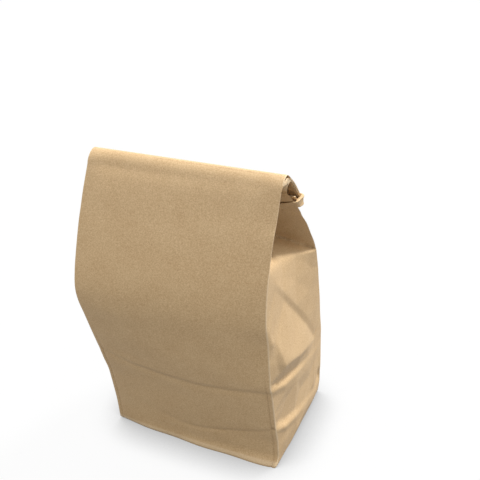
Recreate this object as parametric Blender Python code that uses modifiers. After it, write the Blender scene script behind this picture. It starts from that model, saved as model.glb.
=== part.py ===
"""A kraft paper gusset bag that stands on its flat base, its top folded once to the back and held by a tin tie.

Metres, +Z up, the wide front panel faces -Y, and the origin is at the centre of the flat base.
Sizes below are in millimetres. "Lean" is how far the front panel stands out ahead of the base's front edge.
"""
import math
from collections import namedtuple

import bmesh
import bpy

MM = 0.001
CLEARANCE = 0.3

# Paper bag: the base and the panels
BAG_WIDTH = 152.0
BASE_DEPTH = 108.0
BASE_BOW = 3.5
PANEL_CROWN = 2.0

# Paper bag: where the body creases and bulges on its way up
LOWER_CREASE_HEIGHT = 42.0
LOWER_CREASE_LEAN = 6.5
LOWER_CREASE_DEPTH = 114.0
UPPER_CREASE_HEIGHT = 86.0
UPPER_CREASE_LEAN = 19.5
UPPER_CREASE_DEPTH = 121.0
BELLY_HEIGHT = 150.0
BELLY_LEAN = 34.0
BELLY_DEPTH = 123.0
BELLY_BACK_DROP = 16.0
SHOULDER_BELOW_RIDGE = 61.4
SHOULDER_LEAN = 28.5
SHOULDER_DEPTH = 107.0
SHOULDER_BACK_DROP = 25.0
NECK_BELOW_RIDGE = 40.0
NECK_LEAN = 22.0
NECK_DEPTH = 73.0
NECK_BACK_DROP = 13.0

# Filling: how much further the left front edge stands out than the right one
BELLY_SKEW = 6.0
SHOULDER_SKEW = 2.0

# Gusset: how far its fold is tucked in behind the side line at each of those heights, and where the fold runs
SHOULDER_TUCK = 2.0
NECK_TUCK = 44.0
THROAT_TUCK = 34.0
RIDGE_TUCK = 1.0
NECK_FOLD_SHARE = 0.7
MIDDLE_FOLD_SHARE = 0.5
GUSSET_QUARTER_SHARE = 0.5

# Rolled top: the ridge, the open loop under it, the flap that falls to the back and the mouth turned in below it
RIDGE_HEIGHT = 250.4
RIDGE_LEAN = 0.8
RIDGE_RADIUS = 4.0
LOOP_RADIUS = 4.2
LOOP_DISTANCE = 10.0
PACKED_PAPER = 1.4
FLAP_LENGTH = 41.0
FLAP_START_SLOPE = 30.0
FLAP_END_SLOPE = 47.0
NOSE_RADIUS = 2.2
MOUTH_SLOPE = 35.0
MOUTH_LENGTH = 21.0
RIDGE_START_ANGLE = 170.0
LOOP_START_ANGLE = 205.0
THROAT_DROP = 20.0
THROAT_LEAN = 12.0
THROAT_DEPTH = 26.0
THROAT_BACK_DROP = 3.0

# Tin tie: a paper tape with a steel wire along each edge, bent round both ends of the roll
TAPE_WIDTH = 7.0
TAPE_THICKNESS = 1.4
WIRE_DIAMETER = 0.8
WIRE_COVER = 0.3
TIE_BEND_RADIUS = 2.5
TIE_END_LENGTH = 32.0
TIE_END_TURN = 58.0
TIE_EDGE_GAP = 1.5

# Mesh fineness
PAPER_SUBDIVISION = 1
FOLD_SHARPNESS = 0.8
SOFT_CREASE_SHARPNESS = 0.5
ARC_STEPS = 4
FLAP_STEPS = 4
MOUTH_STEPS = 2
BEND_STEPS = 6
TUBE_RESOLUTION = 2
BEAD_STEPS = 10
CUTTER_OVERRUN = 2.0

# Places round the tube of paper, and the rows that carry a crease right across it
CORNERS = (1, 5, 7, 11)
GUSSET_FOLDS = (3, 9)
CREASED_ROWS = (1, 2, 4)
Row = namedtuple("Row", "front back side crown skew fold", defaults=(0.0, 0.0, 0.0, MIDDLE_FOLD_SHARE))


def clear_scene():
    for item in list(bpy.data.objects):
        bpy.data.objects.remove(item, do_unlink=True)


def new_collection(name):
    collection = bpy.data.collections.new(name)
    bpy.context.scene.collection.children.link(collection)
    return collection


def new_material(name, color, roughness, metallic):
    material = bpy.data.materials.new(name)
    material.use_nodes = True
    shader = material.node_tree.nodes["Principled BSDF"]
    shader.inputs["Base Color"].default_value = (*color, 1.0)
    shader.inputs["Roughness"].default_value = roughness
    shader.inputs["Metallic"].default_value = metallic
    return material


def new_object(name, data, collection, material=None):
    item = bpy.data.objects.new(name, data)
    collection.objects.link(item)
    if material is not None:
        data.materials.append(material)
    return item


def along(start, angle, distance):
    """The point at a distance from start in the side view, at an angle from the +Y direction."""
    return (start[0] + distance * math.cos(angle), start[1] + distance * math.sin(angle))


def between(start, end, share):
    return tuple(a + (b - a) * share for a, b in zip(start, end))


# Side view of the bag: one row for each place where the tube of paper changes
def body_rows():
    base_front = -BASE_DEPTH / 2
    shoulder = RIDGE_HEIGHT - SHOULDER_BELOW_RIDGE
    neck = RIDGE_HEIGHT - NECK_BELOW_RIDGE
    throat = RIDGE_HEIGHT - THROAT_DROP
    rows = [Row((base_front, 0.0), (base_front + BASE_DEPTH, 0.0), BASE_BOW)]
    steps = [
        (LOWER_CREASE_HEIGHT, LOWER_CREASE_LEAN, LOWER_CREASE_DEPTH, 0.0, BASE_BOW, 0.0, MIDDLE_FOLD_SHARE),
        (UPPER_CREASE_HEIGHT, UPPER_CREASE_LEAN, UPPER_CREASE_DEPTH, 0.0, BASE_BOW, 0.0, MIDDLE_FOLD_SHARE),
        (BELLY_HEIGHT, BELLY_LEAN, BELLY_DEPTH, BELLY_BACK_DROP, 0.0, BELLY_SKEW, MIDDLE_FOLD_SHARE),
        (shoulder, SHOULDER_LEAN, SHOULDER_DEPTH, SHOULDER_BACK_DROP, -SHOULDER_TUCK, SHOULDER_SKEW, MIDDLE_FOLD_SHARE),
        (neck, NECK_LEAN, NECK_DEPTH, NECK_BACK_DROP, -NECK_TUCK, 0.0, NECK_FOLD_SHARE),
        (throat, THROAT_LEAN, THROAT_DEPTH, THROAT_BACK_DROP, -THROAT_TUCK, 0.0, MIDDLE_FOLD_SHARE),
    ]
    for height, lean, depth, back_drop, side, skew, fold in steps:
        front = (base_front - lean, height)
        rows.append(Row(front, (front[0] + depth, height - back_drop), side, PANEL_CROWN, skew, fold))
    return rows


def ridge_centre():
    return (-BASE_DEPTH / 2 - RIDGE_LEAN, RIDGE_HEIGHT - RIDGE_RADIUS)


def flap_point(distance):
    """The outer face of the flap at a distance down from the ridge, and its slope there."""
    start_slope = math.radians(FLAP_START_SLOPE)
    bend = math.radians(FLAP_END_SLOPE - FLAP_START_SLOPE) / FLAP_LENGTH
    slope = start_slope + bend * distance
    start = along(ridge_centre(), math.pi / 2 - start_slope, RIDGE_RADIUS)
    y = start[0] + (math.sin(slope) - math.sin(start_slope)) / bend
    z = start[1] + (math.cos(slope) - math.cos(start_slope)) / bend
    return (y, z), slope


def loop_centre():
    point, slope = flap_point(LOOP_DISTANCE)
    return along(point, -math.pi / 2 - slope, PACKED_PAPER + LOOP_RADIUS)


def nose_centre():
    point, slope = flap_point(FLAP_LENGTH)
    return along(point, -math.pi / 2 - slope, NOSE_RADIUS)


def ridge_rows():
    """The front panel goes round the ridge, and the back panel round the open loop under it."""
    outer_first = math.radians(RIDGE_START_ANGLE)
    outer_last = math.pi / 2 - math.radians(FLAP_START_SLOPE)
    inner_first = math.radians(LOOP_START_ANGLE)
    inner_last = math.pi / 2 - flap_point(LOOP_DISTANCE)[1]
    rows = []
    for step in range(ARC_STEPS + 1):
        share = step / ARC_STEPS
        outer = along(ridge_centre(), outer_first + (outer_last - outer_first) * share, RIDGE_RADIUS)
        inner = along(loop_centre(), inner_first + (inner_last - inner_first) * share, LOOP_RADIUS)
        rows.append(Row(outer, inner, -RIDGE_TUCK))
    return rows


def flap_rows():
    rows = []
    for step in range(1, FLAP_STEPS):
        distance = LOOP_DISTANCE + (FLAP_LENGTH - LOOP_DISTANCE) * step / FLAP_STEPS
        outer, slope = flap_point(distance)
        rows.append(Row(outer, along(outer, -math.pi / 2 - slope, PACKED_PAPER)))
    return rows


def mouth_rows():
    """Round the nose, then up along the turned-in mouth to its edge."""
    nose = nose_centre()
    first = math.pi / 2 - math.radians(FLAP_END_SLOPE)
    last = -math.pi / 2 - math.radians(MOUTH_SLOPE)
    rows = []
    for step in range(ARC_STEPS + 1):
        angle = first + (last - first) * step / ARC_STEPS
        outer = along(nose, angle, NOSE_RADIUS)
        rows.append(Row(outer, along(nose, angle, NOSE_RADIUS - PACKED_PAPER)))
    start = rows[-1]
    forward = math.pi - math.radians(MOUTH_SLOPE)
    for step in range(1, MOUTH_STEPS + 1):
        distance = MOUTH_LENGTH * step / MOUTH_STEPS
        rows.append(Row(along(start.front, forward, distance), along(start.back, forward, distance)))
    return rows


def side_points(row, side, skew):
    """One side of the tube on a row, from its front corner over the gusset to its back corner."""
    front = (row.front[0] - skew, row.front[1])
    reach = 1.0 if side > 0 else -1.0
    half = BAG_WIDTH / 2
    points = [(reach * half, *front)]
    for share, tuck in (
        (row.fold * GUSSET_QUARTER_SHARE, GUSSET_QUARTER_SHARE),
        (row.fold, 1.0),
        (1.0 - (1.0 - row.fold) * GUSSET_QUARTER_SHARE, GUSSET_QUARTER_SHARE),
    ):
        points.append((reach * (half + row.side * tuck), *between(front, row.back, share)))
    return points + [(reach * half, *row.back)]


def tube_ring(row):
    """One row's points all the way round, from the middle of the front panel over the +X side."""
    right = side_points(row, 1, 0.0)
    left = side_points(row, -1, row.skew)
    front = (0.0, row.front[0] - row.crown - row.skew / 2, row.front[1])
    back = (0.0, row.back[0] + row.crown, row.back[1])
    return [front, *right, back, *reversed(left)]


def crease_edges(build, rings, tucked_from):
    """Sharp folds at the base, the mouth's edge, the tube's corners and the tucked gusset; soft creases across."""
    crease = build.edges.layers.float.new("crease_edge")
    place = {vert: (number, index) for number, ring in enumerate(rings) for index, vert in enumerate(ring)}
    for edge in build.edges:
        (first, first_index), (second, second_index) = sorted(place[vert] for vert in edge.verts)
        across = first == second
        if across and first in (0, len(rings) - 1):
            edge[crease] = 1.0
        elif across and first in CREASED_ROWS:
            edge[crease] = SOFT_CREASE_SHARPNESS
        elif not across and first_index in CORNERS:
            edge[crease] = 1.0
        elif not across and first_index in GUSSET_FOLDS and first >= tucked_from:
            edge[crease] = FOLD_SHARPNESS


def make_bag(collection, material):
    """One sheet of paper folded to a gusset bag: a cage of rows, smoothed between its folds."""
    rows = body_rows() + ridge_rows() + flap_rows() + mouth_rows()
    tucked_from = next(number for number, row in enumerate(rows) if row.side < 0.0)
    build = bmesh.new()
    rings = [[build.verts.new([value * MM for value in point]) for point in tube_ring(row)] for row in rows]
    for lower, upper in zip(rings, rings[1:]):
        for index in range(len(lower)):
            after = (index + 1) % len(lower)
            build.faces.new((lower[index], lower[after], upper[after], upper[index]))
    for ring, top in ((rings[0], False), (rings[-1], True)):
        halves = ring[:7], [ring[0], *reversed(ring[6:])]
        for index in range(6):
            corners = list(dict.fromkeys((halves[0][index], halves[0][index + 1], halves[1][index + 1], halves[1][index])))
            build.faces.new(corners if top else list(reversed(corners)))
    crease_edges(build, rings, tucked_from)
    mesh = bpy.data.meshes.new("bag")
    build.to_mesh(mesh)
    build.free()
    bag = new_object("bag", mesh, collection, material)
    smooth = bag.modifiers.new("soft paper", "SUBSURF")
    smooth.levels = PAPER_SUBDIVISION
    smooth.render_levels = PAPER_SUBDIVISION


# Tin tie: its middle line lies against the nose of the roll and goes round both ends of it
def bead_radius():
    return WIRE_DIAMETER / 2 + CLEARANCE + WIRE_COVER


def neck_back_edge(height):
    """Where the neck's back fold runs at a height."""
    neck, throat = body_rows()[-2:]
    share = (height - neck.back[1]) / (throat.back[1] - neck.back[1])
    return between(neck.back, throat.back, share)[0]


def arc(centre, radius, first, last, steps):
    for step in range(steps + 1):
        yield along(centre, first + (last - first) * step / steps, radius)


def tie_path():
    """The middle line of the tape in millimetres, from the left tip along the back to the right tip."""
    nose_y, nose_z = nose_centre()
    back_y = nose_y + NOSE_RADIUS + CLEARANCE + bead_radius()
    side_x = BAG_WIDTH / 2 + CLEARANCE + bead_radius()
    turn = math.radians(TIE_END_TURN)
    turn_y = neck_back_edge(nose_z + TAPE_WIDTH / 2) - TIE_EDGE_GAP
    bend = TIE_BEND_RADIUS
    half = list(arc((side_x - bend, back_y - bend), bend, math.pi / 2, 0.0, BEND_STEPS))
    half += list(arc((side_x - bend, turn_y), bend, 0.0, -turn, BEND_STEPS))
    left = TIE_END_LENGTH - (back_y - bend - turn_y) - bend * turn
    half.append(along(half[-1], -math.pi / 2 - turn, left))
    return [(-x, y, nose_z) for x, y in reversed(half)] + [(x, y, nose_z) for x, y in half]


def raised(path, height):
    return [(x, y, z + height) for x, y, z in path]


def overrun(path, distance):
    """The same line, made longer by a distance at both tips."""
    ends = []
    for tip, inner in ((path[0], path[1]), (path[-1], path[-2])):
        span = math.dist(tip, inner)
        ends.append(tuple(t + (t - i) / span * distance for t, i in zip(tip, inner)))
    return [ends[0], *path, ends[1]]


def path_curve(name, path, collection):
    curve = bpy.data.curves.new(name, "CURVE")
    curve.dimensions = "3D"
    curve.twist_mode = "Z_UP"
    curve.use_fill_caps = True
    spline = curve.splines.new("POLY")
    spline.points.add(len(path) - 1)
    for point, place in zip(spline.points, path):
        point.co = (*(value * MM for value in place), 1.0)
    return new_object(name, curve, collection)


def make_tube(name, path, radius, collection):
    tube = path_curve(name, path, collection)
    tube.data.bevel_depth = radius * MM
    tube.data.bevel_resolution = TUBE_RESOLUTION
    return tube


def as_mesh(item, collection):
    """The same body as a closed mesh object, for cutting or to be cut."""
    bpy.context.view_layer.update()
    graph = bpy.context.evaluated_depsgraph_get()
    mesh = bpy.data.meshes.new_from_object(item.evaluated_get(graph))
    name = item.name
    matrix = item.matrix_world.copy()
    bpy.data.objects.remove(item, do_unlink=True)
    build = bmesh.new()
    build.from_mesh(mesh)
    bmesh.ops.remove_doubles(build, verts=build.verts, dist=0.01 * MM)
    bmesh.ops.recalc_face_normals(build, faces=build.faces)
    build.to_mesh(mesh)
    build.free()
    solid = new_object(name, mesh, collection)
    solid.matrix_world = matrix
    return solid


def tape_profile(collection):
    """The tape's cross-section: a thin web that swells to a round bead over each wire."""
    web_angle = math.asin(TAPE_THICKNESS / 2 / bead_radius())
    sweep = 2 * (math.pi - web_angle)
    outline = []
    for (name, height), turn in zip(wire_heights(), (-math.pi / 2, math.pi / 2)):
        for step in range(BEAD_STEPS + 1):
            angle = turn + web_angle + sweep * step / BEAD_STEPS
            outline.append(along((0.0, height), angle, bead_radius()))
    curve = bpy.data.curves.new("tape_profile", "CURVE")
    spline = curve.splines.new("POLY")
    spline.points.add(len(outline) - 1)
    for point, place in zip(spline.points, outline):
        point.co = (place[0] * MM, place[1] * MM, 0.0, 1.0)
    spline.use_cyclic_u = True
    profile = new_object("tape_profile", curve, collection)
    hide_helper(profile)
    return profile


def hide_helper(item):
    item.hide_render = True
    item.display_type = "WIRE"


def make_tape(collection, cutters, material):
    """The paper tape: a web with a raised bead round each wire, and an open channel through each bead."""
    ribbon = path_curve("tin_tie_tape", tie_path(), collection)
    ribbon.data.bevel_mode = "OBJECT"
    ribbon.data.bevel_object = tape_profile(cutters)
    tape = as_mesh(ribbon, collection)
    tape.name = "tin_tie_tape"
    tape.data.materials.append(material)
    for name, height in wire_heights():
        line = overrun(raised(tie_path(), height), CUTTER_OVERRUN)
        channel = as_mesh(make_tube(f"channel_{name}", line, WIRE_DIAMETER / 2 + CLEARANCE, cutters), cutters)
        hide_helper(channel)
        cut = tape.modifiers.new(f"channel {name}", "BOOLEAN")
        cut.operation = "DIFFERENCE"
        cut.solver = "EXACT"
        cut.object = channel


def wire_heights():
    reach = TAPE_WIDTH / 2 - bead_radius()
    return (("upper", reach), ("lower", -reach))


def make_wires(collection, material):
    for name, height in wire_heights():
        wire = make_tube(f"tin_tie_wire_{name}", raised(tie_path(), height), WIRE_DIAMETER / 2, collection)
        wire.data.materials.append(material)


clear_scene()
parts = new_collection("tin_tie_bag")
helpers = new_collection("cutters")
kraft = new_material("kraft_paper", (0.52, 0.36, 0.2), 0.85, 0.0)
tape_paper = new_material("kraft_tape", (0.47, 0.32, 0.17), 0.7, 0.0)
steel = new_material("steel_wire", (0.6, 0.6, 0.6), 0.35, 1.0)
make_bag(parts, kraft)
make_tape(parts, helpers, tape_paper)
make_wires(parts, steel)
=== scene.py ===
import math

import bpy
import numpy as np
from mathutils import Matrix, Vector, geometry, noise


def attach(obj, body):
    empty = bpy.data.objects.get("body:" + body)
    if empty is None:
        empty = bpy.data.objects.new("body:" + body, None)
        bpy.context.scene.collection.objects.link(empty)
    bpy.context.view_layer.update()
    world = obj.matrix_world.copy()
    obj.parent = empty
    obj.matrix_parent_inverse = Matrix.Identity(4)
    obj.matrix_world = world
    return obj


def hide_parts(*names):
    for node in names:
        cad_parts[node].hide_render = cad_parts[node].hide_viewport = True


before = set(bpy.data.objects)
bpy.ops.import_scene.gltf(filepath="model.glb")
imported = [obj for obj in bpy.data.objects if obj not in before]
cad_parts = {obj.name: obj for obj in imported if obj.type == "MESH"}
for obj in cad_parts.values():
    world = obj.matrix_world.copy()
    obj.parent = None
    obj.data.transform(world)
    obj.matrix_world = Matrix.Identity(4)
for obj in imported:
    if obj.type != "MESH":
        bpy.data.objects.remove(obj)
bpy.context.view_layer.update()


# The paper bag: one sheet of brown kraft paper glued to a tube with tucked sides and a flat folded base.
# It is opened out and filled, so that its panels belly out, and its top is folded once over to the back.

# Sizes are in millimetres: x across, y to the back, z up. An edge, where two panels meet, is a list of
# (height, depth) from the base up; only the neck's back edge, which leans far forward, is (depth, height).
# An ease is the reach over which a list's corners are rounded.
MM = 0.001
HALF_WIDTH = 76.0
SHOULDER_FRONT, SHOULDER_BACK = 193.0, 163.0
NECK_TOP_FRONT, NECK_TOP_BACK = (-63.6, 240.5), (-49.8, 235.3)
BODY_ROWS, NECK_ROWS, ROLL_ROWS = 112, 44, 92
SIDE_COLUMNS, BACK_COLUMNS = 96, 52
RIGHT_EASE, LEFT_EASE, BACK_EASE, DROP_EASE = 5, 7, 4, 12

RIGHT_FRONT_EDGE = [
    (0, -57.4), (3, -54.4), (8, -52.2), (26, -54.9), (42, -60.4), (59.4, -64.8), (80, -70.4), (91.9, -75.1),
    (111, -78.1), (134.6, -81.6), (147.4, -85.6), (158.7, -86.6), (173, -85.8), (184, -84.2), (191, -81.9),
    (205, -77.7), (212.6, -75), (218, -72), (224.8, -69), (232.2, -66.4), (240.5, -63.6)]
LEFT_FRONT_EDGE = [
    (0, -54.9), (24, -57.6), (45, -61.6), (61, -64.8), (71.5, -69), (87.5, -74.2), (106.7, -81.0),
    (128, -88.2), (140, -92.6), (150, -94.8), (158, -94.6), (172, -91.6), (189, -86.4), (203, -81.8),
    (224, -73.0), (240.5, -64.6)]
BACK_EDGE = [
    (0, 54.0), (57, 54.0), (72, 52.4), (92, 46.6), (109, 42.6), (127, 37), (144, 32), (163, 24.3)]
BACK_EDGE_NECK = [
    (24.3, 163), (17.3, 173), (6.9, 184.6), (-4.2, 197), (-16.8, 208), (-20.8, 212.4), (-28, 218.7),
    (-42, 229.7), (-49.8, 235.3)]
# How far the back corner bows out to the side at each height, and how far a row drops from front to back
BACK_EDGE_BOW = [(0, 0.2), (14, 1.6), (35, 1.2), (57, 0.3), (90, 0.0), (240, 0.0)]
BACK_DROP = [(0, 0), (60, 0), (86, 2), (142, 14), (193, 30)]


def smooth_reading(points, place, reach):
    """Reads a list of (height, value) at each height, with its corners eased over a reach."""
    steps = np.linspace(-reach, reach, 9)
    weight = np.cos(steps / reach * math.pi / 2) + 0.02
    heights, values = np.array(points, float).T
    first, last = heights[0], heights[-1]
    total = np.zeros(len(place))
    for step, share in zip(steps, weight):
        at = place + step
        level = np.interp(at, heights, values)
        level = np.where(at > last, 2 * values[-1] - np.interp(2 * last - at, heights, values), level)
        level = np.where(at < first, 2 * values[0] - np.interp(2 * first - at, heights, values), level)
        total += level * share
    return total / weight.sum()


def walk(points, count):
    """Even steps along a line through points, its first and last points kept."""
    points = np.array(points, float)
    run = np.concatenate([[0], np.cumsum(np.linalg.norm(np.diff(points, axis=0), axis=1))])
    at = np.linspace(0, run[-1], count)
    return np.stack([np.interp(at, run, points[:, axis]) for axis in range(points.shape[1])], axis=1)


def soft_curve(points, count):
    """A smooth line through points (y, z), in even steps."""
    points = np.array(points, float)
    padded = np.vstack([2 * points[0] - points[1], points, 2 * points[-1] - points[-2]])
    fine = []
    for a, b, c, d in zip(padded, padded[1:], padded[2:], padded[3:]):
        for t in np.linspace(0, 1, 12, endpoint=False):
            fine.append(0.5 * (2 * b + (c - a) * t + (2 * a - 5 * b + 4 * c - d) * t ** 2
                               + (3 * b - a - 3 * c + d) * t ** 3))
    fine.append(points[-1])
    return walk(fine, count)


# Rows up to the shoulder, then up the tucked neck: front right, front left and back edge of each
body_height = np.linspace(0, SHOULDER_FRONT, BODY_ROWS)
neck_height = np.linspace(SHOULDER_FRONT, NECK_TOP_FRONT[1], NECK_ROWS + 1)[1:]
row_height = np.concatenate([body_height, neck_height])
neck_end = len(row_height)
front_right = np.stack([smooth_reading(RIGHT_FRONT_EDGE, row_height, RIGHT_EASE), row_height], axis=1)
front_left = np.stack([smooth_reading(LEFT_FRONT_EDGE, row_height, LEFT_EASE), row_height], axis=1)
body_back_height = body_height - smooth_reading(BACK_DROP, body_height, DROP_EASE)
body_back_height[-1] = SHOULDER_BACK
body_back = np.stack([smooth_reading(BACK_EDGE, body_back_height, BACK_EASE), body_back_height], axis=1)
back_edge = np.vstack([body_back, soft_curve(BACK_EDGE_NECK, NECK_ROWS + 1)[1:]])

# Roll: the front panel goes round the ridge and down the back as a flap, over the open loop of the back
# panel, and at the nose the mouth turns in. Front and back points are paired.
ROLL = [
    ((-62.0, 244.0), (-51.3, 237.4)), ((-59.9, 246.9), (-51.9, 239.4)), ((-57.6, 248.9), (-51.5, 241.2)),
    ((-55.0, 250.1), (-50.3, 242.6)), ((-52.2, 250.0), (-48.6, 243.5)), ((-49.4, 248.5), (-46.9, 243.7)),
    ((-46.5, 246.5), (-45.3, 243.3)), ((-43.5, 244.4), (-43.4, 242.3)), ((-38.3, 240.6), (-38.8, 238.9)),
    ((-34.6, 237.4), (-35.4, 235.8)), ((-31.3, 234.2), (-32.2, 232.6)), ((-26.2, 229.1), (-27.2, 227.6)),
    ((-22.6, 225.1), (-24.0, 223.9)), ((-21.0, 222.8), (-22.4, 222.3)), ((-20.6, 221.3), (-21.9, 221.7)),
    ((-21.3, 219.8), (-22.1, 220.9)), ((-22.8, 219.2), (-23.2, 220.5)), ((-25.4, 220.2), (-25.1, 221.5)),
    ((-28.6, 222.5), (-28.1, 223.7)), ((-31.6, 224.7), (-31.0, 225.8)), ((-34.0, 226.8), (-33.2, 227.6)),
    ((-35.0, 228.6), (-34.0, 228.9))]
# The roll's left end stands a little higher than its right one: how much, from what height, over how many
LEFT_RISE, RISE_FOOT, RISE_OVER = 1.5, 212, 32


def ramp(distance, over, least=0.0):
    """0 up to 1 over a distance, and no less than least."""
    return np.clip(distance / over, least, 1)


def station_rows(stations, rows):
    """Rows through paired points, each pair reached at the same row on both lines."""
    stations = np.array(stations, float)
    step = np.linalg.norm(np.diff(stations[:, 0], axis=0), axis=1)
    step = np.maximum(step, np.linalg.norm(np.diff(stations[:, 1], axis=0), axis=1))
    run = np.concatenate([[0], np.cumsum(step)])
    at = np.linspace(0, run[-1], rows + 1)[1:]
    lines = []
    for side in (0, 1):
        line = stations[:, side]
        slope = np.gradient(line, run, axis=0)
        index = np.clip(np.searchsorted(run, at, side="right") - 1, 0, len(run) - 2)
        span = (run[index + 1] - run[index])[:, None]
        t = ((at - run[index]) / span[:, 0])[:, None]
        lines.append((2 * t ** 3 - 3 * t ** 2 + 1) * line[index]
                     + (t ** 3 - 2 * t ** 2 + t) * span * slope[index]
                     + (3 * t ** 2 - 2 * t ** 3) * line[index + 1]
                     + (t ** 3 - t ** 2) * span * slope[index + 1])
    return lines


roll_front, roll_back = station_rows([(NECK_TOP_FRONT, NECK_TOP_BACK)] + ROLL, ROLL_ROWS)
front_right = np.vstack([front_right, roll_front])
lead = [(front_right[neck_end - 1] - front_left[-1])[0], 0]
front_left = np.vstack([front_left, roll_front - lead * np.linspace(1, 0, ROLL_ROWS)[:, None] ** 2])
front_left[:, 1] += LEFT_RISE * ramp(front_left[:, 1] - RISE_FOOT, RISE_OVER)
back_edge = np.vstack([back_edge, roll_back])
rows = len(front_right)

# Creases pressed in the side: points (y, z, how far in from the side plane, negative for out) and the lines
# that join them. The base bows out, each cross crease is a small ledge, and a long valley runs from corner
# to corner.
SIDE_LINES = {
    "base": [(-54, 0, 0.0), (-30, 0, -0.4), (0, 0, -0.5), (22, 0, -0.5), (38, 0, -0.4), (54, 0, -0.2)],
    "lower crease foot": [(-57.5, 36.0, 0.0), (-52.0, 34.4, -0.8), (-40.5, 26.7, -1.8), (-16.1, 18.4, -2.9),
                          (3.2, 13.7, -3.2), (22.5, 9.3, -2.8), (38, 6.5, -2.2), (54, 4, -0.6)],
    "lower crease ledge": [(-60.0, 42.5, 0.0), (-54.5, 40.2, -1.4), (-44.1, 35.0, -2.8), (-23.4, 28.6, -3.6),
                           (-2.0, 22.0, -3.4), (17.0, 17.9, -3.0), (36, 12, -2.4), (54, 8, -1.0)],
    "lower crease top": [(-62.5, 50.0, 0.0), (-53.0, 46.2, 1.2), (-42.3, 40.0, 0.4), (-20.0, 33.0, -1.2),
                         (2.7, 26.2, -2.0), (21.1, 22.0, -2.0), (36, 18, -1.4), (54, 14, -1.2)],
    "upper crease foot": [(-70.5, 82.0, 0.0), (-45.6, 71.7, -2.2), (-19.7, 63.1, -2.8), (8.8, 56.0, -2.5),
                          (32, 52.0, -1.3), (53, 50.0, -0.4)],
    "upper crease ledge": [(-74.0, 90.0, 0.0), (-68.0, 87.5, -1.6), (-51.8, 81.2, -3.1), (-27.9, 74.4, -3.3),
                           (1.0, 66.4, -2.7), (34.2, 58.8, -1.4), (53, 56.5, -0.3)],
    "upper crease top": [(-76.0, 95.0, 0.0), (-68.0, 92.0, 0.4), (-46.1, 83.8, 0.1), (-19.5, 76.2, -1.3),
                         (7.2, 68.8, -1.9), (33.5, 63.0, -0.8), (52.5, 62.6, 0.0)],
    "belly fold": [(-85.2, 147.2, 0.0), (-78.7, 139.2, -0.9), (-75.4, 132.4, -1.7), (-69.6, 130.0, -1.2),
                   (-65.1, 123.7, -2.3), (-62.9, 117.0, -3.6), (-55.4, 102.0, -5.3), (-42.8, 98.6, -5.5),
                   (-19.5, 89.5, -5.0), (7.6, 80.7, -3.1), (29.8, 74.5, -0.5)],
    "belly notch": [(-76.5, 127.0, -0.8), (-70.5, 121.5, -1.2), (-67.0, 110.0, -2.2), (-61.0, 98.0, -2.5)],
    "long valley": [(-84.0, 187.0, 0.2), (-78.4, 181.8, 1.0), (-63.5, 168.5, 2.6), (-39.9, 147.6, 4.0),
                    (-13.2, 122.4, 2.8), (11.3, 97.2, 0.6), (29.6, 76.3, 0.2)],
    "valley crest": [(-80.5, 188.5, 0.5), (-66.5, 176.5, 2.2), (-41.5, 156.0, 3.5), (-14.0, 130.6, 2.2),
                     (12.0, 105.0, 0.0), (29.5, 84.0, -0.3)],
    "shoulder": [(-81.2, 193, 0.0), (-58.4, 187.0, 5.0), (-37.2, 180.6, 8.6), (-9.3, 172.0, 6.9),
                 (8, 167.4, 3.3), (24.3, 163, 0.0)],
    "back rib": [(32.1, 50.0, -1.0), (30.6, 36.0, -1.9), (29.2, 25.5, -2.6)],
}
SIDE_POINTS = [
    (-40, 168, 5.7), (-13, 151, 4.5), (14, 130, 1.1), (17, 149, 1.7), (32, 106, -0.4), (4, 161, 3.8),
    (-5, 45, -0.8), (-40, 60, -0.6), (20, 42, -1.2), (-15, 10, -3.1), (-42, 18, -1.7), (46, 35, -1.2),
    (45, 44, -0.9), (50, 22, 0.6), (44, 84, -0.2)]
# The net of creases is tied to the side's edges at points a step apart, just past them, and to a wide frame
NET_STEP, NET_PAST = 9, 0.2
NET_FRONT, NET_BACK = (8, 190), (18, 160)
NET_FRAME = [(-140, -5, 0), (-140, 200, 0), (100, -5, 0), (100, 160, 0), (24.5, 205, 0), (-80, 215, 0)]


def reading(points, at):
    """Reads a list of (place, value) at a place, in straight runs from point to point."""
    return np.interp(at, *np.array(points, float).T)


def side_net(front, back):
    """Triangles over one side, from the crease lines and the side's own outline."""
    points, joins = [], []
    for line in SIDE_LINES.values():
        joins += [(len(points) + number, len(points) + number + 1) for number in range(len(line) - 1)]
        points += line
    points += SIDE_POINTS
    for height in range(*NET_FRONT, NET_STEP):
        y = np.interp(height, front[:BODY_ROWS, 1], front[:BODY_ROWS, 0])
        points.append((y - NET_PAST, height, 0.0))
    for height in range(*NET_BACK, NET_STEP):
        y = np.interp(height, back[:BODY_ROWS, 1], back[:BODY_ROWS, 0])
        points.append((y + NET_PAST, height, -reading(BACK_EDGE_BOW, height)))
    points += NET_FRAME
    flat = [Vector((p[0], p[1])) for p in points]
    places, _, faces, origin, _, _ = geometry.delaunay_2d_cdt(flat, joins, [], 0, 0.01)
    depth = [points[source[0]][2] if source else None for source in origin]
    places = np.array([(v.x, v.y) for v in places])
    for number, value in enumerate(depth):
        if value is None:
            near = np.argsort(np.hypot(*(np.array(points)[:, :2] - places[number]).T))[:2]
            depth[number] = float(np.mean([points[n][2] for n in near]))
    return places, faces, np.array(depth)


def read_net(net, y, z):
    """How far in the side lies at each (y, z)."""
    places, faces, depth = net
    found = np.zeros(len(y))
    for face in faces:
        a, b, c = places[list(face)[:3]]
        area = (b[0] - a[0]) * (c[1] - a[1]) - (c[0] - a[0]) * (b[1] - a[1])
        if abs(area) < 1e-9:
            continue
        u = ((b[0] - y) * (c[1] - z) - (c[0] - y) * (b[1] - z)) / area
        v = ((c[0] - y) * (a[1] - z) - (a[0] - y) * (c[1] - z)) / area
        w = 1 - u - v
        inside = (u > -1e-6) & (v > -1e-6) & (w > -1e-6)
        found[inside] = (u * depth[face[0]] + v * depth[face[1]] + w * depth[face[2]])[inside]
    return found


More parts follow.
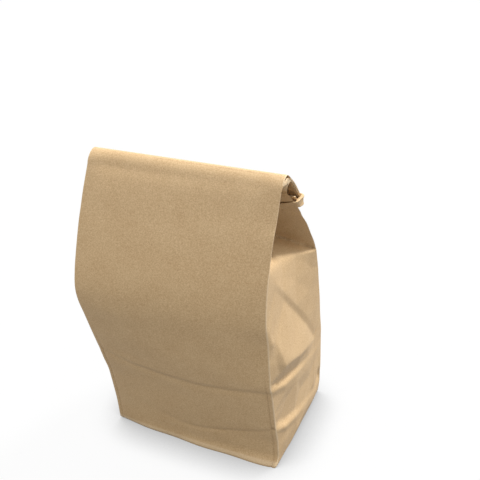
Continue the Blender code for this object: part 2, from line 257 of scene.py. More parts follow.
# The tuck of the neck: the side folds in on two slanting creases to an apex, and from there up a middle fold.
# APEX_ROW is the apex's share of the neck's rows; the shoulder's hollow fades out on the way there.
SIDE_APEX, TUCK_END = (28.0, -23.0, 195.5), (58.0, -55.5, 238.0)
APEX_ROW, HOLLOW_FADE = 0.36, 1.5


def bent_line(points, shares):
    """Points at shares of a bent line's length, with one of them moved to each bend."""
    points = np.array(points, float)
    run = np.concatenate([[0], np.cumsum(np.linalg.norm(np.diff(points, axis=0), axis=1) + 1e-6)])
    places = shares * run[-1]
    for bend in run[1:-1]:
        places[1 + np.argmin(abs(places[1:-1] - bend))] = bend
    return np.stack([np.interp(places, run, points[:, axis]) for axis in range(3)], axis=1)


def neck_row(front, back, share, hollow):
    """Points on one row of the tucked neck, from front to back; hollow is how far the shoulder dips."""
    apex, shares = np.array(SIDE_APEX), np.linspace(0, 1, SIDE_COLUMNS)
    start_front = np.array([HALF_WIDTH, *front_right[BODY_ROWS - 1]])
    start_back = np.array([HALF_WIDTH, *back_edge[BODY_ROWS - 1]])
    if share < APEX_ROW:
        t = share / APEX_ROW
        bends = [start_front + (apex - start_front) * t, start_back + (apex - start_back) * t]
    else:
        t = (share - APEX_ROW) / (1 - APEX_ROW)
        bends = [apex + (np.array(TUCK_END) - apex) * t]
    line = bent_line([front, *bends, back], shares)
    line[:, 0] -= hollow * max(0.0, 1 - share / APEX_ROW) ** HOLLOW_FADE
    return line


# The roll's end: the folded block behind the tuck, which is a pocket with a wall on each side, then the open
# loop under the ridge, given along a row and row by row, and the layers of paper, which show as fine steps.
# Below the ridge the end swells out a little.
BLOCK_FOOT, BLOCK_TOP, BLOCK_DEPTH, BLOCK_ROWS, WALL = 237.0, 244.5, 17.0, 14, 1.8
LOOP_ALONG = [(0.6, 0), (0.9, 1), (2.4, 1), (3.2, 0)]
LOOP_BY_ROW = [(9, 0), (12, 1), (22, 1), (25, 0)]
LOOP_DEPTH, LOOP_LEAST = 7.0, 4.0
LAYER_DEPTH, LAYER_STEPS = 0.3, 4
END_SWELL, SWELL_TOP, SWELL_OVER = 0.9, 248, 8


def roll_row(front, back, number, shares):
    """Points on one row of the roll's end, from its outer layer to its inner one."""
    line = front + (back - front) * shares[:, None]
    length = np.linalg.norm(back - front)
    run = shares * length
    rise = ramp(line[:, 2] - BLOCK_FOOT, BLOCK_TOP - BLOCK_FOOT)
    rise = rise * rise * (3 - 2 * rise)
    walls = ramp(np.minimum(run, length - run), WALL)
    pocket = BLOCK_DEPTH * (1 - rise) * walls if number < BLOCK_ROWS else 0.0
    gap = reading(LOOP_ALONG, run) if length > LOOP_LEAST else 0.0
    gap = gap * reading(LOOP_BY_ROW, number)
    layers = LAYER_DEPTH * (0.5 - 0.5 * np.cos(run / max(length, 0.1) * math.pi * LAYER_STEPS))
    swell = END_SWELL * ramp(SWELL_TOP - line[:, 2], SWELL_OVER) * walls
    line[:, 0] -= pocket + gap * LOOP_DEPTH + layers - swell
    return line


def side_rows(front, back, slack):
    """The whole right-hand side as rows of points; slack changes how deep its small creases are."""
    net = side_net(front, back)
    shares = np.linspace(0, 1, SIDE_COLUMNS)
    grid = np.zeros((rows, SIDE_COLUMNS, 3))
    for row in range(rows):
        a, b = np.array([HALF_WIDTH, *front[row]]), np.array([HALF_WIDTH, *back[row]])
        if row < BODY_ROWS:
            b[0] += reading(BACK_EDGE_BOW, back[row, 1])
            line = a + (b - a) * shares[:, None]
            grid[row] = line
            grid[row, :, 0] = HALF_WIDTH - read_net(net, line[:, 1], line[:, 2]) * slack
            grid[row, 0], grid[row, -1] = a, b
        elif row < neck_end:
            hollow = HALF_WIDTH - grid[BODY_ROWS - 1, :, 0]
            grid[row] = neck_row(a, b, (row - BODY_ROWS + 1) / NECK_ROWS, hollow)
        else:
            grid[row] = roll_row(a, b, row - neck_end, shares)
    return grid


def relax(grid, first, last, rounds, weight):
    """Eases creases in a stretch of rows by pulling each point towards its four neighbours."""
    for _ in range(rounds):
        part = grid[first - 1:last + 1]
        middle = (part[:-2, 1:-1] + part[2:, 1:-1] + part[1:-1, :-2] + part[1:-1, 2:]) / 4
        grid[first:last, 1:-1] += (middle - grid[first:last, 1:-1]) * weight


# The panels are eased a little, and the shoulder and the neck above it more. The shoulder is eased most at
# the front. The left side's creases are softer than the right one's.
SHOULDER_EASE = 0.6 * np.linspace(1, 0, SIDE_COLUMNS - 2)[None, :, None] ** 0.7
RIGHT_SLACK, LEFT_SLACK = 1.0, 0.7
shoulder = (BODY_ROWS - 8, BODY_ROWS + 5)
right_side = side_rows(front_right, back_edge, RIGHT_SLACK)
relax(right_side, 1, BODY_ROWS - 1, rounds=1, weight=0.5)
relax(right_side, BODY_ROWS + 2, BODY_ROWS + 18, rounds=5, weight=0.5)
relax(right_side, *shoulder, rounds=14, weight=SHOULDER_EASE)
left_side = side_rows(front_left, back_edge, LEFT_SLACK)
relax(left_side, 1, BODY_ROWS - 1, rounds=3, weight=0.6)
relax(left_side, *shoulder, rounds=14, weight=SHOULDER_EASE)
left_side[:, :, 0] *= -1

# Front panel: crowned by the filling, as (height, crown), with the two cross creases of the base fold. Each
# has its line as (across, height), how deep and wide it is pressed, how that fades to the left (from how far
# left of the middle, over how much, to what least), how much painted shade it gets (how dark, how far above
# the line and how wide), and how that fades.
FRONT_CROWN = [(0, 3.4), (20, 3.4), (80, 3.0), (142, 2.6), (200, 1.6), (235, 0.4), (251, 0.0)]
FRONT_CREASES = [
    ([(-76, 88.5), (-55.9, 82.1), (-44.1, 78.8), (-27.5, 77.1), (-15.3, 76.2), (0.9, 75.9), (12.8, 76.3),
      (41.9, 79.6), (59.5, 83.3), (76, 86.4)], (0.85, 1.7), (78, 40, 0.35), (0.45, 0.6, 1.5), (78, 40, 0.3)),
    ([(-76, 44), (-60, 39), (-45, 30), (-10.2, 21.4), (9.1, 21.9), (28.2, 26.0), (53.1, 33.2), (76, 43.0)],
     (0.6, 1.1), (50, 60, 0.12), (0.5, 1.2, 1.2), (20, 40, 0.0))]
# A second fold runs beside each corner up to a height, and the right one has a nick where the lower crease
# meets it. Press is how deep, then how wide; tone is how dark the painted shade in the fold and the nick is,
# then how wide. The base's front lip waves, and the ridge is eased back between its ends. The belly's slow
# swelling in the middle fades out at the base and the neck.
EDGE_FOLD, FOLD_TOP, FOLD_OVER = 72.3, 112, 25
FOLD_PRESS, FOLD_TONE = (0.6, 0.7), (0.75, 0.55)
NICK_AT, NICK_PRESS, NICK_TONE = (73.6, 43.8), (1.3, 1.3, 1.6), (2.2, 1.1, 1.4)
LIP_WAVE, LIP_LENGTH, LIP_START, LIP_HEIGHT = 0.45, 8.5, 0.6, 4
RIDGE_EASE, RIDGE_HEIGHT, RIDGE_REACH, RIDGE_BACK = 1.2, 244, 6.5, -56
BELLY_EASE, BELLY_FOOT, BELLY_TOP = 24, 60, 20
FRONT_SEED, BACK_SEED, WAVE_FOOT, WAVE_TOP = 3.0, 21.0, 20, (246, 30)


def press_crease(height, at, depth, width):
    """A pressed fold: a small valley, steep at its top and easing out slowly below."""
    d = height - at
    return depth * np.exp(-(d / np.where(d > 0, width * 0.7, width * 2.6)) ** 2)


def bell(*distances):
    """1 at a place and falling smoothly away from it; each distance is counted in widths."""
    return np.exp(sum(-distance ** 2 for distance in distances))


def panel_noise(x, z, seed):
    """The paper's slow unevenness, about 50 mm across, with a little at about 15 mm."""
    place = Vector((x * 0.021, z * 0.017, seed))
    small = Vector((x * 0.075, z * 0.06, seed + 9.0))
    return noise.noise(place) * 0.9 + noise.noise(small) * 0.16


edge_columns = np.array([76.0, 75.4, 74.8, 74.2, 73.7, 73.3, 72.9, 72.5, 72.1, 71.7, 71.2, 70.6, 69.6])
across = np.concatenate([-edge_columns, np.linspace(-68, 68, 69), edge_columns[::-1]])
FRONT_COLUMNS = len(across)
front_grid = np.zeros((rows, FRONT_COLUMNS, 3))
side_share = (across + HALF_WIDTH) / (2 * HALF_WIDTH)
edge_share = 1 - (across / HALF_WIDTH) ** 2
front_middle = (front_right[:neck_end, 0] + front_left[:neck_end, 0]) / 2
soft_belly = smooth_reading(list(zip(row_height, front_middle)), row_height, BELLY_EASE) - front_middle
soft_belly *= ramp(row_height, BELLY_FOOT) * ramp(neck_end - np.arange(neck_end), BELLY_TOP)
# pressed is the painted shade at each point of the front: dark lines along its creases, its corner folds and
# the nick
pressed = np.zeros((rows, FRONT_COLUMNS))
for row in range(rows):
    line = front_left[row] + (front_right[row] - front_left[row]) * side_share[:, None]
    height = line[:, 1]
    crown = reading(FRONT_CROWN, height[0]) if row < neck_end + 8 else 0.0
    y = line[:, 0] - crown * edge_share ** 0.7
    if row < neck_end:
        y += soft_belly[row] * np.clip(edge_share * 2.2, 0, 1)
        for points, (depth, width), fade, (tone, above, spread), tone_fade in FRONT_CREASES:
            crease = reading(points, across)
            (start, over, least), (tone_start, tone_over, tone_least) = fade, tone_fade
            y += press_crease(height, crease, depth * ramp(across + start, over, least), width)
            pressed[row] += (tone * bell((height - crease - above) / spread)
                             * ramp(across + tone_start, tone_over, tone_least))
        wave = np.array([panel_noise(x, h, FRONT_SEED) for x, h in zip(across, height)])
        y -= (wave * np.clip(edge_share * 3, 0, 1)
              * ramp(height, WAVE_FOOT) * ramp(WAVE_TOP[0] - height, WAVE_TOP[1]))
        low, beside = ramp(FOLD_TOP - height, FOLD_OVER), np.abs(across) - EDGE_FOLD
        nick = np.array([across - NICK_AT[0], height - NICK_AT[1]])
        pressed[row] += FOLD_TONE[0] * bell(beside / FOLD_TONE[1]) * low
        pressed[row] += NICK_TONE[0] * bell(nick[0] / NICK_TONE[1], nick[1] / NICK_TONE[2])
        y += FOLD_PRESS[0] * bell(beside / FOLD_PRESS[1]) * low
        y += NICK_PRESS[0] * bell(nick[0] / NICK_PRESS[1], nick[1] / NICK_PRESS[2])
        lip = LIP_WAVE * np.sin(across / LIP_LENGTH + LIP_START)
        y -= lip * bell(height / LIP_HEIGHT) * np.clip(edge_share * 4, 0, 1)
    ease = RIDGE_EASE * np.clip(edge_share * 2.5, 0, 1) * bell((height - RIDGE_HEIGHT) / RIDGE_REACH)
    y += ease * (line[:, 0] < RIDGE_BACK)
    front_grid[row] = np.stack([across, y, height], axis=1)

# Back panel: crowned less, with the same two factory creases running level, as (height, depth, width). Its
# crown and its unevenness fade out over the neck's last rows.
BACK_CROWN, BACK_BELLY, BACK_FADE, BACK_CALM = 0.5, 1.3, 12, 14
BACK_CREASES = [(84.0, 0.6, 1.6), (42.0, 0.5, 1.3)]
back_across = np.linspace(HALF_WIDTH, -HALF_WIDTH, BACK_COLUMNS)
back_share = 1 - (back_across / HALF_WIDTH) ** 2
back_grid = np.zeros((rows, BACK_COLUMNS, 3))
for row in range(rows):
    bow = reading(BACK_EDGE_BOW, back_edge[row, 1]) if row < BODY_ROWS else 0.0
    height = np.full(BACK_COLUMNS, back_edge[row, 1])
    y = np.full(BACK_COLUMNS, back_edge[row, 0])
    if row < neck_end:
        crown = BACK_CROWN + BACK_BELLY * math.sin(min(row / BODY_ROWS, 1) * math.pi)
        y += crown * back_share ** 0.7 * min(1, (neck_end - row) / BACK_FADE)
        wave = np.array([panel_noise(x, h, BACK_SEED) for x, h in zip(back_across, height)])
        y += wave * np.clip(back_share * 3, 0, 1) * ramp(height, WAVE_FOOT) * ramp(neck_end - row, BACK_CALM)
        y -= sum(press_crease(height, *crease) for crease in BACK_CREASES)
    back_grid[row] = np.stack([back_across * (HALF_WIDTH + bow) / HALF_WIDTH, y, height], axis=1)

# The panels are joined to a tube, ring by ring, with each fold turned on a small radius. The lowest ring is
# drawn in, because the base's edge is turned under.
EDGE_ROUND, CORNER_POINTS, BASE_TURN = 1.0, 5, 0.986


def rounded_corner(before, corner, after, reach):
    """The points that turn a folded edge on a small radius."""
    a, b = before - corner, after - corner
    la, lb = np.linalg.norm(a) + 1e-9, np.linalg.norm(b) + 1e-9
    start = corner + a / la * min(reach, la * 0.9)
    end = corner + b / lb * min(reach, lb * 0.9)
    return [start * (1 - t) ** 2 + 2 * corner * t * (1 - t) + end * t ** 2
            for t in np.linspace(0, 1, CORNER_POINTS)]


def paper_ring(row):
    """All points round the tube of paper on one row, anticlockwise from above."""
    panels = (front_grid[row], right_side[row], back_grid[row], left_side[row][::-1])
    reach = min(EDGE_ROUND, np.linalg.norm(back_edge[row] - front_right[row]) * 0.4)
    ring = []
    for number, panel in enumerate(panels):
        after = panels[(number + 1) % 4]
        ring += [*panel[1:-1], *rounded_corner(panel[-2], panel[-1], after[1], reach)]
    return ring


def tube_piece(name, rings):
    """A closed tube through rings of points in millimetres, with smooth walls and two flat ends."""
    around, last = len(rings[0]), (len(rings) - 1) * len(rings[0])
    faces = [(r + c, r + (c + 1) % around, r + around + (c + 1) % around, r + around + c)
             for r in range(0, last, around) for c in range(around)]
    faces += [tuple(reversed(range(around))), tuple(range(last, last + around))]
    mesh = bpy.data.meshes.new(name)
    mesh.from_pydata([tuple(float(v) * MM for v in point) for ring in rings for point in ring], [], faces)
    mesh.validate()
    for face in mesh.polygons:
        face.use_smooth = len(face.vertices) == 4
    piece = bpy.data.objects.new(name, mesh)
    bpy.context.scene.collection.objects.link(piece)
    return piece


rings = [paper_ring(row) for row in range(rows)]
rings[0] = [point * (BASE_TURN, BASE_TURN, 1) for point in rings[0]]
paper_bag = tube_piece("paper_bag", rings)
paper_bag.data.set_sharp_from_angle(angle=math.radians(40))

# Painted shade, as how dark each point is: along the front's creases, in a line under the base's turned edge
# where the bag stands, on the rib beside the back corner as (height, depth), and along the slanting crease
# from the back of the shoulder to the apex
BASE_TONE, MOST_TONE, RIB_TONE, NECK_TONE = 2.2, 2, 0.8, 1.3
RIB_LINE, RIB_WIDTH = [(22.0, 29.0), (46.0, 31.5), (78.0, 32.6)], 0.8
RIB_FOOT, RIB_TOP, FOOT_OVER, TOP_OVER = 22, 84, 8, 14
NECK_CREASE_ROWS, NECK_CREASE_WIDTH = 20, 1.6
count = len(rings[0])
side_points = SIDE_COLUMNS - 2
right_first, left_first = FRONT_COLUMNS - 2 + CORNER_POINTS, count - CORNER_POINTS - side_points
foot, apex = np.array([HALF_WIDTH, *back_edge[BODY_ROWS - 1]]), np.array(SIDE_APEX)
neck_rows = slice(BODY_ROWS, BODY_ROWS + NECK_CREASE_ROWS)
crease_shade = np.zeros((rows, count), np.float32)
crease_shade[:, :FRONT_COLUMNS - 2] = np.clip(pressed[:, 1:-1], 0, MOST_TONE)
crease_shade[0] = BASE_TONE
for side, first in ((right_side, right_first), (left_side[:, ::-1], left_first)):
    y, z = side[:BODY_ROWS, 1:-1, 1], side[:BODY_ROWS, 1:-1, 2]
    line = (bell((y - reading(RIB_LINE, z)) / RIB_WIDTH)
            * ramp(z - RIB_FOOT, FOOT_OVER) * ramp(RIB_TOP - z, TOP_OVER))
    crease_shade[1:BODY_ROWS, first:first + side_points] = np.clip(line[1:], 0, 1) * RIB_TONE
    part = side[neck_rows, 1:-1] * (np.sign(side[0, 0, 0]), 1, 1)
    along = np.clip(((part - foot) @ (apex - foot)) / ((apex - foot) @ (apex - foot)), 0, 1)
    away = np.linalg.norm(part - foot - along[:, :, None] * (apex - foot), axis=2)
    crease_shade[neck_rows, first:first + side_points] = bell(away / NECK_CREASE_WIDTH) * NECK_TONE

# Painted highlight, as how pale each point is: the four corners and the base's front rim, where a folded edge
# catches the light, and the roll's two ends, painted lighter where they lie in shade
RIM_HIGHLIGHT, RIM_ROWS, ROLL_HIGHLIGHT_ROW = 0.7, slice(1, 3), neck_end + 6
edge_highlight = np.zeros((rows, count), np.float32)
panel_points = (FRONT_COLUMNS - 2, side_points, BACK_COLUMNS - 2, side_points)
for number in range(4):
    corner = sum(panel_points[:number + 1]) + CORNER_POINTS * number
    edge_highlight[:neck_end, corner:corner + CORNER_POINTS] = 1.0
edge_highlight[RIM_ROWS, :FRONT_COLUMNS - 2] = RIM_HIGHLIGHT
for first in (right_first, left_first):
    edge_highlight[ROLL_HIGHLIGHT_ROW:, first - CORNER_POINTS:first + side_points + CORNER_POINTS] = 1.0
for name, values in (("painted_crease_shade", crease_shade), ("painted_edge_highlight", edge_highlight)):
    paper_bag.data.attributes.new(name, "FLOAT", "POINT").data.foreach_set("value", values.ravel())


def linear(hexcode):
    """An sRGB hex colour as linear red, green, blue and alpha."""
    values = [int(hexcode[i:i + 2], 16) / 255 for i in (1, 3, 5)]
    return (*[v / 12.92 if v <= 0.04045 else ((v + 0.055) / 1.055) ** 2.4 for v in values], 1.0)


def add(tree, kind, settings=None, inputs=None, links=None):
    """Adds one node with its settings, its unlinked values and the links that come into it."""
    node = tree.nodes.new(kind)
    for name, value in (settings or {}).items():
        setattr(node, name, value)
    for name, value in (inputs or {}).items():
        node.inputs[name].default_value = value
    for name, source in (links or {}).items():
        tree.links.new(source, node.inputs[name])
    return node


def new_finish(name):
    """An empty node material and its tree."""
    finish = bpy.data.materials.new(name)
    finish.use_nodes = True
    finish.node_tree.nodes.clear()
    return finish, finish.node_tree


# Natural kraft paper, unbleached and machine finished. It gives the eye a dull warm brown with a faint broad
# sheen, cloudy pulp in patches of about 18 mm, and a fine dark and light grain.
# A fibre is 1 to 3 mm long and 0.03 mm thick. Here it is drawn about 2 mm long and 0.7 to 0.9 mm thick,
# and the grain 0.9 mm wide, so that they show.
KRAFT_DARK, KRAFT_LIGHT, KRAFT_FIBRE = "#AB8658", "#D8BB90", "#8F6E45"
# The crease colour is painted shade in creases and under the base's edge; the pale colour is a painted
# highlight on folded edges and painted light on the roll's shaded ends
KRAFT_CREASE_SHADE, KRAFT_HIGHLIGHT = "#7A5C36", "#F2DDBB"
CLOUDS_PER_METRE, GRAINS_PER_METRE, FIBRES_PER_METRE = 55.0, 1150.0, (520.0, 1100.0, 1500.0)
kraft, tree = new_finish("natural_kraft_paper")
place = add(tree, "ShaderNodeTexCoord").outputs["Object"]
cloud = add(tree, "ShaderNodeTexNoise", {},
            {"Scale": CLOUDS_PER_METRE, "Detail": 3.0, "Roughness": 0.6}, {"Vector": place})
grain = add(tree, "ShaderNodeTexNoise", {},
            {"Scale": GRAINS_PER_METRE, "Detail": 1.0, "Roughness": 0.6}, {"Vector": place})
stretch = add(tree, "ShaderNodeMapping", {},
              {"Scale": FIBRES_PER_METRE, "Rotation": (0.3, 0.2, 0.5)}, {"Vector": place})
fibre = add(tree, "ShaderNodeTexNoise", {},
            {"Scale": 1.0, "Detail": 1.0}, {"Vector": stretch.outputs["Vector"]})
cloud_tone = add(tree, "ShaderNodeMapRange", {},
                 {"From Min": 0.3, "From Max": 0.7}, {"Value": cloud.outputs["Fac"]})
grain_tone = add(tree, "ShaderNodeMapRange", {},
                 {"From Min": 0.32, "From Max": 0.68}, {"Value": grain.outputs["Fac"]})
tone = add(tree, "ShaderNodeMath", {"operation": "MULTIPLY_ADD"},
           {1: 0.14, 2: 0.14}, {0: cloud_tone.outputs["Result"]})
for layer, weight in ((grain_tone.outputs["Result"], 0.5), (fibre.outputs["Fac"], 0.3)):
    tone = add(tree, "ShaderNodeMath", {"operation": "MULTIPLY_ADD"},
               {1: weight}, {0: layer, 2: tone.outputs[0]})
pulp = add(tree, "ShaderNodeMix", {"data_type": "RGBA"},
           {"A": linear(KRAFT_DARK), "B": linear(KRAFT_LIGHT)}, {"Factor": tone.outputs[0]})
fleck_level = add(tree, "ShaderNodeMapRange", {},
                  {"From Min": 0.66, "From Max": 0.74, "To Max": 0.35}, {"Value": fibre.outputs["Fac"]})
paper = add(tree, "ShaderNodeMix", {"data_type": "RGBA"}, {"B": linear(KRAFT_FIBRE)},
            {"Factor": fleck_level.outputs["Result"], "A": pulp.outputs["Result"]})
# Painted light: the creases, the base's turned edge and the neck's slanting crease are darkened with painted
# shade, and the folded edges and the roll's shaded ends are made paler with a painted highlight
for mark, strength, colour in (("painted_crease_shade", 0.3, KRAFT_CREASE_SHADE), ("painted_edge_highlight", 0.4, KRAFT_HIGHLIGHT)):
    painted_mark = add(tree, "ShaderNodeAttribute", {"attribute_name": mark})
    share = add(tree, "ShaderNodeMath", {"operation": "MULTIPLY"}, {1: strength}, {0: painted_mark.outputs["Fac"]})
    paper = add(tree, "ShaderNodeMix", {"data_type": "RGBA"}, {"B": linear(colour)},
                {"Factor": share.outputs[0], "A": paper.outputs["Result"]})
bump = add(tree, "ShaderNodeBump", {}, {"Strength": 0.12, "Distance": 0.0004}, {"Height": grain.outputs["Fac"]})
soft_bump = add(tree, "ShaderNodeBump", {}, {"Strength": 0.25, "Distance": 0.0012},
                {"Height": cloud.outputs["Fac"], "Normal": bump.outputs["Normal"]})
paper_shader = add(tree, "ShaderNodeBsdfPrincipled", {},
                   {"Roughness": 0.6, "IOR": 1.5, "Specular IOR Level": 0.5},
                   {"Base Color": paper.outputs["Result"], "Normal": soft_bump.outputs["Normal"]})
add(tree, "ShaderNodeOutputMaterial", {}, {}, {"Surface": paper_shader.outputs["BSDF"]})
paper_bag.data.materials.append(kraft)
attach(paper_bag, "root")
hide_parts("bag")


# The tin tie's tape: a narrow strip of the same kraft paper, folded over two wires and glued to the mouth.
# It lies behind the rolled top, and each end is bent by hand round the roll and pressed into the tucked side.

# Sizes in millimetres. TIE_POINTS run as (x, y) from the middle of the back to the start of the bend, and
# TIE_STOPS are distances along the tucked side past the bend. TIE_FOLD is how many times thicker the inside
# of the tape is where the bend crumples it, and TIE_FALL how far its end has dropped, in shares of TIE_DIP.
# TIE_SLANT is how far the tucked side comes back for each millimetre of that drop.
TIE_HEIGHT, TIE_HALF, TIE_BEAD, TIE_WEB = 221.8, 2.8, 0.75, 0.35
TIE_BACK, TIE_SIDE, TIE_STAND, TIE_END, TIE_DIP = -18.9, 77.5, 1.2, 20.0, 3.0
TIE_POINTS = [
    (0.0, TIE_BACK), (30.0, TIE_BACK), (60.0, TIE_BACK), (70.0, TIE_BACK + 0.2), (74.0, TIE_BACK + 0.1),
    (76.3, TIE_BACK - 0.9), (TIE_SIDE, TIE_BACK - 3.4), (TIE_SIDE + 0.1, TIE_BACK - 6.5)]
TIE_STOPS, TIE_SLANT = (4.5, 8.0, 14.0, TIE_END), 0.68
TIE_FOLD = ((0.66, 1.0), (0.71, 3.0), (0.78, 3.0), (0.82, 1.0))
TIE_FALL = ((0.83, -0.2), (1.0, 1.0))
TIE_STATIONS, TRAIL_STEPS, TRAIL_COLUMN, TRAIL_ROW = 120, 40, 40, BODY_ROWS + 10
BEAD_STEPS, BEAD_TURN = 11, 28


def tie_line(rise):
    """One line along the tie, from the middle of the back to its right tip, at a height above its middle."""
    z = TIE_HEIGHT + rise
    trail = []
    for column in range(SIDE_COLUMNS - 1, TRAIL_COLUMN, -1):
        strand = right_side[TRAIL_ROW:neck_end, column]
        x, y = (np.interp(z, strand[:, 2], strand[:, axis]) for axis in (0, 1))
        if trail and x > trail[-1][0]:
            break
        trail.append((x, y))
    trail = walk(trail, TRAIL_STEPS)
    ahead = trail[TRAIL_STEPS // 2] - trail[0]
    ahead /= np.linalg.norm(ahead)
    stand = np.array([-ahead[1], ahead[0]]) * TIE_STAND
    run = np.concatenate([[0], np.cumsum(np.linalg.norm(np.diff(trail, axis=0), axis=1))])
    edge = trail[0][1]
    points = TIE_POINTS + [(TIE_SIDE - 0.1, edge + 1.8), (HALF_WIDTH + 0.6, edge - 0.9)]
    for distance in TIE_STOPS:
        dip = TIE_DIP * distance / TIE_END
        x, y = np.array([np.interp(distance, run, trail[:, axis]) for axis in (0, 1)]) + stand
        points.append((x, y + TIE_SLANT * dip))
    fall = reading(TIE_FALL, np.linspace(0, 1, TIE_STATIONS))
    return np.column_stack([soft_curve(points, TIE_STATIONS), z - TIE_DIP * fall])


def tie_section():
    """The tape's section as (out, up): two beads round the wires and a thin web between."""
    loop = []
    for centre, first, web in ((TIE_HALF, -50, -TIE_WEB), (-TIE_HALF, 130, TIE_WEB)):
        for step in range(BEAD_STEPS):
            angle = math.radians(first + BEAD_TURN * step)
            loop.append((math.cos(angle) * TIE_BEAD, centre + math.sin(angle) * TIE_BEAD))
        loop += [(web, centre * share) for share in (0.45, 0.0, -0.45)]
    return loop


def sweep_tie(name, section):
    """Sweeps a section along the whole tie, both ends alike, and returns the mesh object."""
    rings, last = [], TIE_STATIONS - 1
    lines = [tie_line(up) for _, up in section]
    for side, stations in ((-1, range(last, 0, -1)), (1, range(TIE_STATIONS))):
        for station in stations:
            ring = []
            for (out, _), line in zip(section, lines):
                ahead = line[min(station + 1, last)] - line[max(station - 1, 0)]
                normal = np.array([-ahead[1], ahead[0]])
                normal /= np.linalg.norm(normal)
                if out < 0:
                    out *= reading(TIE_FOLD, station / last)
                x, y = line[station, :2] + normal * out
                ring.append((side * x, y, line[station, 2]))
            rings.append(ring)
    return tube_piece(name, rings)


tie_tape = sweep_tie("tin_tie_paper", tie_section())
tie_tape.data.materials.append(kraft)
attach(tie_tape, "root")
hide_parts("tin_tie_tape")


# The two wires inside the tape: soft annealed steel, drawn round, 0.8 mm thick. They run the tape's whole
# length between its two layers of paper, and keep the bend they are given.
# Annealed steel is grey and half dull, with a thin mottled scale left from the furnace.
WIRE_RADIUS, WIRE_SIDES = 0.4, 8
STEEL_DARK, STEEL_LIGHT, SCALE_PER_METRE = "#8C8984", "#B5B2AC", 900.0
annealed, tree = new_finish("annealed_steel_wire")
place = add(tree, "ShaderNodeTexCoord").outputs["Object"]
scale_noise = add(tree, "ShaderNodeTexNoise", {}, {"Scale": SCALE_PER_METRE, "Detail": 2.0}, {"Vector": place})
steel_tone = add(tree, "ShaderNodeMix", {"data_type": "RGBA"},
                 {"A": linear(STEEL_DARK), "B": linear(STEEL_LIGHT)}, {"Factor": scale_noise.outputs["Fac"]})
steel = add(tree, "ShaderNodeBsdfPrincipled", {}, {"Metallic": 1.0, "Roughness": 0.35},
            {"Base Color": steel_tone.outputs["Result"]})
add(tree, "ShaderNodeOutputMaterial", {}, {}, {"Surface": steel.outputs["BSDF"]})
for name, height in (("upper", TIE_HALF), ("lower", -TIE_HALF)):
    turns = [step * 2 * math.pi / WIRE_SIDES for step in range(WIRE_SIDES)]
    circle = [(math.cos(turn) * WIRE_RADIUS, height + math.sin(turn) * WIRE_RADIUS) for turn in turns]
    wire = sweep_tie(f"steel_wire_{name}", circle)
    wire.data.materials.append(annealed)
    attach(wire, "root")
    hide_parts(f"tin_tie_wire_{name}")


# The floor: a plain sheet of white paper, laid flat under the bag and running out of sight. It is stage.
# Matt uncoated paper has no gloss. The object is lit by the darker grey, and the camera sees the paler one,
# mostly as an even white glow with a painted shadow: the glow is dimmed where the bag stands close, which
# paints the bag's soft shadow and the dark line where the bag stands on the floor.
FLOOR_WIDTH, FLOOR_LIT, FLOOR_SEEN = 30.0, "#6E6E6E", "#C4C4C4"
CONTACT_REACH, CONTACT_RAYS, GLOW_SHARE = 0.045, 12, 0.95


def seen_directly(tree):
    """1 for the camera and for what shows in metal or glass, 0 for the light that reaches the object."""
    ray = add(tree, "ShaderNodeLightPath").outputs
    seen = ray["Is Camera Ray"]
    for kind in ("Is Glossy Ray", "Is Transmission Ray"):
        seen = add(tree, "ShaderNodeMath", {"operation": "MAXIMUM"}, {}, {0: seen, 1: ray[kind]}).outputs[0]
    return seen


bpy.ops.mesh.primitive_plane_add(size=FLOOR_WIDTH, location=(0, 0, 0))
floor = bpy.context.object
floor.name = "white_floor"
white, tree = new_finish("matt_white_paper")
seen = seen_directly(tree)
sheet = add(tree, "ShaderNodeMix", {"data_type": "RGBA"},
            {"A": linear(FLOOR_LIT), "B": linear(FLOOR_SEEN)}, {"Factor": seen})
matt = add(tree, "ShaderNodeBsdfDiffuse", {}, {}, {"Color": sheet.outputs["Result"]})
# Painted shadow: the glow is dimmed by how closely the bag surrounds each point, within CONTACT_REACH
near = add(tree, "ShaderNodeAmbientOcclusion", {"samples": CONTACT_RAYS}, {"Distance": CONTACT_REACH})
shade = add(tree, "ShaderNodeMapRange", {},
            {"From Min": 0.35, "From Max": 0.86, "To Min": 0.45, "To Max": 1.0}, {"Value": near.outputs["AO"]})
glow = add(tree, "ShaderNodeEmission", {}, {"Color": (1, 1, 1, 1)}, {"Strength": shade.outputs["Result"]})
share = add(tree, "ShaderNodeMath", {"operation": "MULTIPLY"}, {1: GLOW_SHARE}, {0: seen})
both = add(tree, "ShaderNodeMixShader", {}, {}, {0: share.outputs[0], 1: matt.outputs[0], 2: glow.outputs[0]})
add(tree, "ShaderNodeOutputMaterial", {}, {}, {"Surface": both.outputs[0]})
floor.data.materials.append(white)

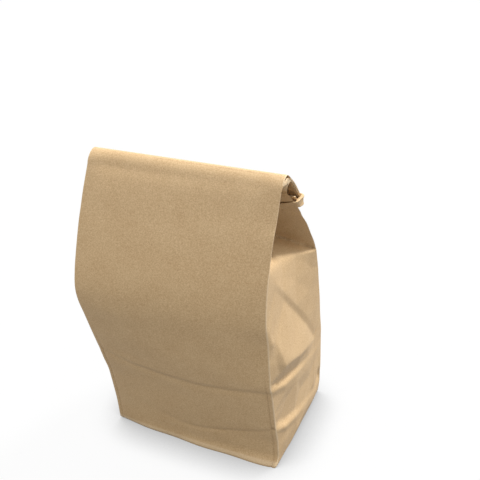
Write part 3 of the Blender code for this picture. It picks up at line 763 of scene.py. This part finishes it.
# The light: a plain white room, brighter overhead than at the floor; a soft key lamp high behind the right,
# which lights the bag's right side and the top of its roll; and a weak wide fill lamp from the front.
# Each lamp has its strength, how wide it looks in degrees, and the direction it stands in.
ROOM_LOW, ROOM_HIGH = 0.66, 1.06
LAMPS = (("key_lamp", 3.65, 10, (0.28, 0.42, 0.863)), ("fill_lamp", 0.35, 60, (-0.1, -0.65, 0.75)))
world = bpy.data.worlds.new("white_room")
bpy.context.scene.world = world
world.use_nodes = True
tree = world.node_tree
tree.nodes.clear()
ways = add(tree, "ShaderNodeTexCoord").outputs["Generated"]
rise = add(tree, "ShaderNodeSeparateXYZ", {}, {}, {"Vector": ways}).outputs["Z"]
level = add(tree, "ShaderNodeMapRange", {},
            {"From Min": 0.0, "From Max": 1.0, "To Min": ROOM_LOW, "To Max": ROOM_HIGH}, {"Value": rise})
room = add(tree, "ShaderNodeBackground", {}, {"Color": (1, 1, 1, 1)}, {"Strength": level.outputs["Result"]})
plain = add(tree, "ShaderNodeBackground", {}, {"Color": (1, 1, 1, 1), "Strength": 1.0})
both = add(tree, "ShaderNodeMixShader", {}, {},
           {0: seen_directly(tree), 1: room.outputs[0], 2: plain.outputs[0]})
add(tree, "ShaderNodeOutputWorld", {}, {}, {"Surface": both.outputs[0]})
for name, energy, angle, place in LAMPS:
    lamp = bpy.data.lights.new(name, "SUN")
    lamp.energy = energy
    lamp.angle = math.radians(angle)
    lamp_object = bpy.data.objects.new(name, lamp)
    lamp_object.rotation_euler = Vector(place).to_track_quat("Z", "Y").to_euler()
    bpy.context.scene.collection.objects.link(lamp_object)
bpy.context.scene.view_settings.view_transform = "Standard"

# The camera: a little to the right of the front and above it, as the photograph was taken. Its place and its
# lens were solved from the bag's own edges. Distances are in metres, the lens in millimetres, turns in degrees.
CAMERA_PLACE, CAMERA_TILT, CAMERA_TURN = (0.20713, -0.42406, 0.38178), 65.55, 24.0
CAMERA_LENS, CAMERA_SENSOR = 47.09, 36.0
lens = bpy.data.cameras.new("camera")
lens.sensor_width = CAMERA_SENSOR
lens.lens = CAMERA_LENS
camera = bpy.data.objects.new("camera", lens)
camera.location = CAMERA_PLACE
camera.rotation_euler = (math.radians(CAMERA_TILT), 0.0, math.radians(CAMERA_TURN))
bpy.context.scene.collection.objects.link(camera)
bpy.context.scene.camera = camera

bpy.context.view_layer.update()
